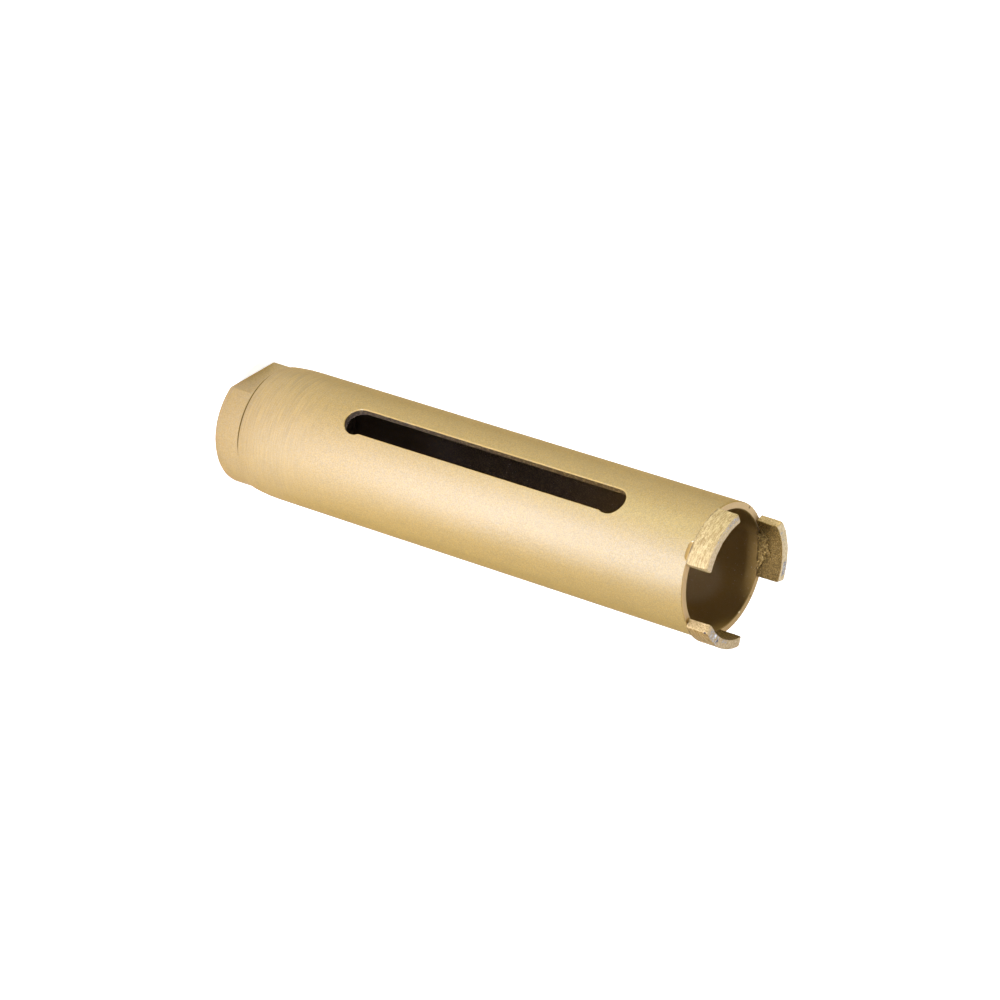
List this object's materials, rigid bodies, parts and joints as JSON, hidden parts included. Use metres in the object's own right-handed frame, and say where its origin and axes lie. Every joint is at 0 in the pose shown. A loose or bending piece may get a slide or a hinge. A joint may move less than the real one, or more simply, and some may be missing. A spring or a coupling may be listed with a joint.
{
  "type": "diamond core bit",
  "caption": "Dry diamond core bit: slotted steel barrel with curved brazed cutting segments on its mouth and a threaded hub with wrench flats at its rear.",
  "frame": {"origin": "centre of the hub's rear face, on the bit's axis; the bit stands on this face", "axes": "+Z along the bit, from the hub towards the cutting end; -Y out through the dust slot"},
  "size_m": [0.0383, 0.0373, 0.1641],
  "materials": {
    "barrel_paint": "satin gold paint, finely speckled",
    "hub_paint": "satin gold paint, finely speckled",
    "segment_metal": "sintered, granular, thinly painted",
    "braze_metal": "rough, lumpy"
  },
  "bodies": {
    "root": {"barrel": "barrel_paint", "hub": "hub_paint", "segment_1": "segment_metal", "segment_2": "segment_metal", "segment_3": "segment_metal", "braze_1": "braze_metal", "braze_2": "braze_metal", "braze_3": "braze_metal"}
  },
  "joints": []
}
